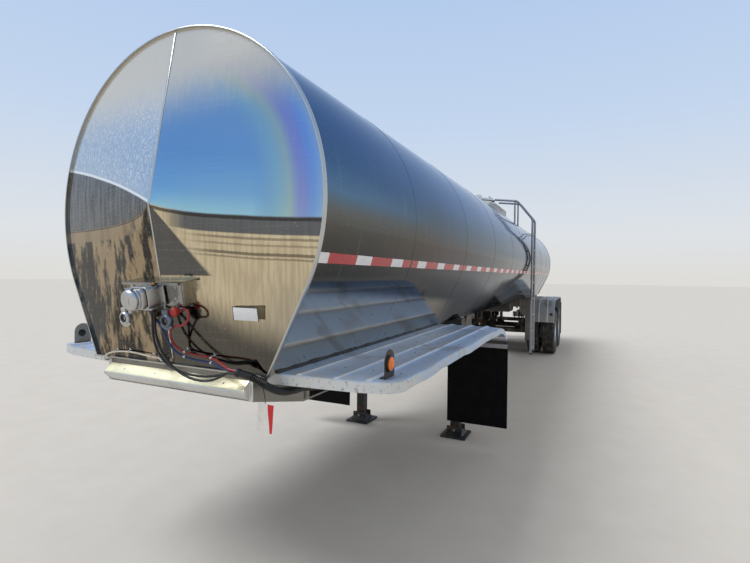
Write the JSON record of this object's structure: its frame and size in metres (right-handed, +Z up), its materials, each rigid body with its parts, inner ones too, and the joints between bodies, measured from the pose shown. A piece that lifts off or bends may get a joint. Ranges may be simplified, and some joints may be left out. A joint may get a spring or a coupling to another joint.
{
  "type": "milk tanker trailer",
  "caption": "Insulated stainless milk tanker semi-trailer with ribbed fenders, nose coupler, landing gear and a leaf-sprung tandem on twin wheels",
  "frame": {"origin": "on the ground under the middle of the trailer", "axes": "+X forward, along the length; +Y to the trailer's left; +Z up"},
  "size_m": [12.7, 2.44, 3.3453],
  "materials": {
    "barrel_steel": "mirror polished stainless steel",
    "bright_trim": "bright polished stainless steel",
    "fender_aluminium": "weathered ribbed aluminium",
    "dark_frame": "dirty black paint",
    "leg_paint": "black paint with rust",
    "grey_steel": "dull grey steel tube",
    "coupler_steel": "dull stainless steel",
    "cast_metal": "cast aluminium",
    "axle_steel": "black chassis paint",
    "spring_steel": "dark spring steel",
    "wheel_alloy": "polished aluminium",
    "tyre_rubber": "black tyre rubber",
    "flap_rubber": "black rubber sheet",
    "lamp_amber": "amber lens",
    "lamp_red": "red lens",
    "lamp_bracket": "dark brown paint",
    "hose_red": "red air hose",
    "hose_blue": "blue air hose",
    "cable_black": "black cable jacket",
    "lead_grey": "pale grey lead",
    "kingpin_steel": "worn forged steel"
  },
  "bodies": {
    "trailer": {"tank_shell": "barrel_steel", "front_head": "barrel_steel", "rear_head": "barrel_steel", "rim_bands": "bright_trim", "upper_coupler": "coupler_steel", "nose_rail": "bright_trim", "kingpin": "kingpin_steel", "front_fenders": "fender_aluminium", "fender_brackets": "dark_frame", "marker_posts": "lamp_bracket", "marker_lenses": "lamp_amber", "landing_legs": "leg_paint", "landing_feet": "leg_paint", "landing_beam": "leg_paint", "landing_braces": "leg_paint", "landing_crank": "leg_paint", "flap_hangers": "dark_frame", "mud_flaps": "flap_rubber", "rear_subframe": "dark_frame", "portal_bulkhead": "dark_frame", "spring_hangers": "dark_frame", "equalizers": "spring_steel", "leaf_springs": "spring_steel", "axles": "axle_steel", "brake_chambers": "axle_steel", "air_reservoirs": "axle_steel", "rear_fenders": "fender_aluminium", "manhole_collar": "bright_trim", "top_platform": "coupler_steel", "ladder": "grey_steel", "ladder_handrails": "grey_steel", "nose_box": "bright_trim", "power_socket": "cast_metal", "gladhands": "cast_metal", "cord_fittings": "cable_black", "cable_sleeve": "cable_black", "hose_red": "hose_red", "hose_blue": "hose_blue", "cable_upper": "cable_black", "cable_lower": "cable_black", "side_lead": "lead_grey", "cable_clips": "bright_trim", "valve_cabinet": "bright_trim", "outlet_valve": "bright_trim", "rear_bumper": "dark_frame", "lamp_panels": "bright_trim", "rear_lamps": "lamp_red"},
    "manhole_lid": {"manhole_lid": "bright_trim"},
    "door_left": {"cabinet_door_left": "bright_trim"},
    "door_right": {"cabinet_door_right": "bright_trim"},
    "wheelset_front_left": {"tyres_front_left": "tyre_rubber", "wheels_front_left": "wheel_alloy"},
    "wheelset_front_right": {"tyres_front_right": "tyre_rubber", "wheels_front_right": "wheel_alloy"},
    "wheelset_rear_left": {"tyres_rear_left": "tyre_rubber", "wheels_rear_left": "wheel_alloy"},
    "wheelset_rear_right": {"tyres_rear_right": "tyre_rubber", "wheels_rear_right": "wheel_alloy"}
  },
  "joints": [
    {"name": "wheel_spin_front_left", "type": "hinge", "parent": "trailer", "child": "wheelset_front_left", "pos_m": [-3.83967, 0.9075, 0.51], "axis": [0, 1, 0], "continuous": true},
    {"name": "wheel_spin_front_right", "type": "hinge", "parent": "trailer", "child": "wheelset_front_right", "pos_m": [-3.83967, -0.9075, 0.51], "axis": [0, 1, 0], "continuous": true},
    {"name": "wheel_spin_rear_left", "type": "hinge", "parent": "trailer", "child": "wheelset_rear_left", "pos_m": [-5.08467, 0.9075, 0.51], "axis": [0, 1, 0], "continuous": true},
    {"name": "wheel_spin_rear_right", "type": "hinge", "parent": "trailer", "child": "wheelset_rear_right", "pos_m": [-5.08467, -0.9075, 0.51], "axis": [0, 1, 0], "continuous": true},
    {"name": "lid_hinge", "type": "hinge", "parent": "trailer", "child": "manhole_lid", "pos_m": [-0.59167, 0, 3.232], "axis": [0, 1, 0], "range_deg": [0, 110]},
    {"name": "door_hinge_left", "type": "hinge", "parent": "trailer", "child": "door_left", "pos_m": [-6.33997, 0.434, 1.355], "axis": [0, 0, -1], "range_deg": [0, 120]},
    {"name": "door_hinge_right", "type": "hinge", "parent": "trailer", "child": "door_right", "pos_m": [-6.33997, -0.434, 1.355], "axis": [0, 0, 1], "range_deg": [0, 120]}
  ]
}
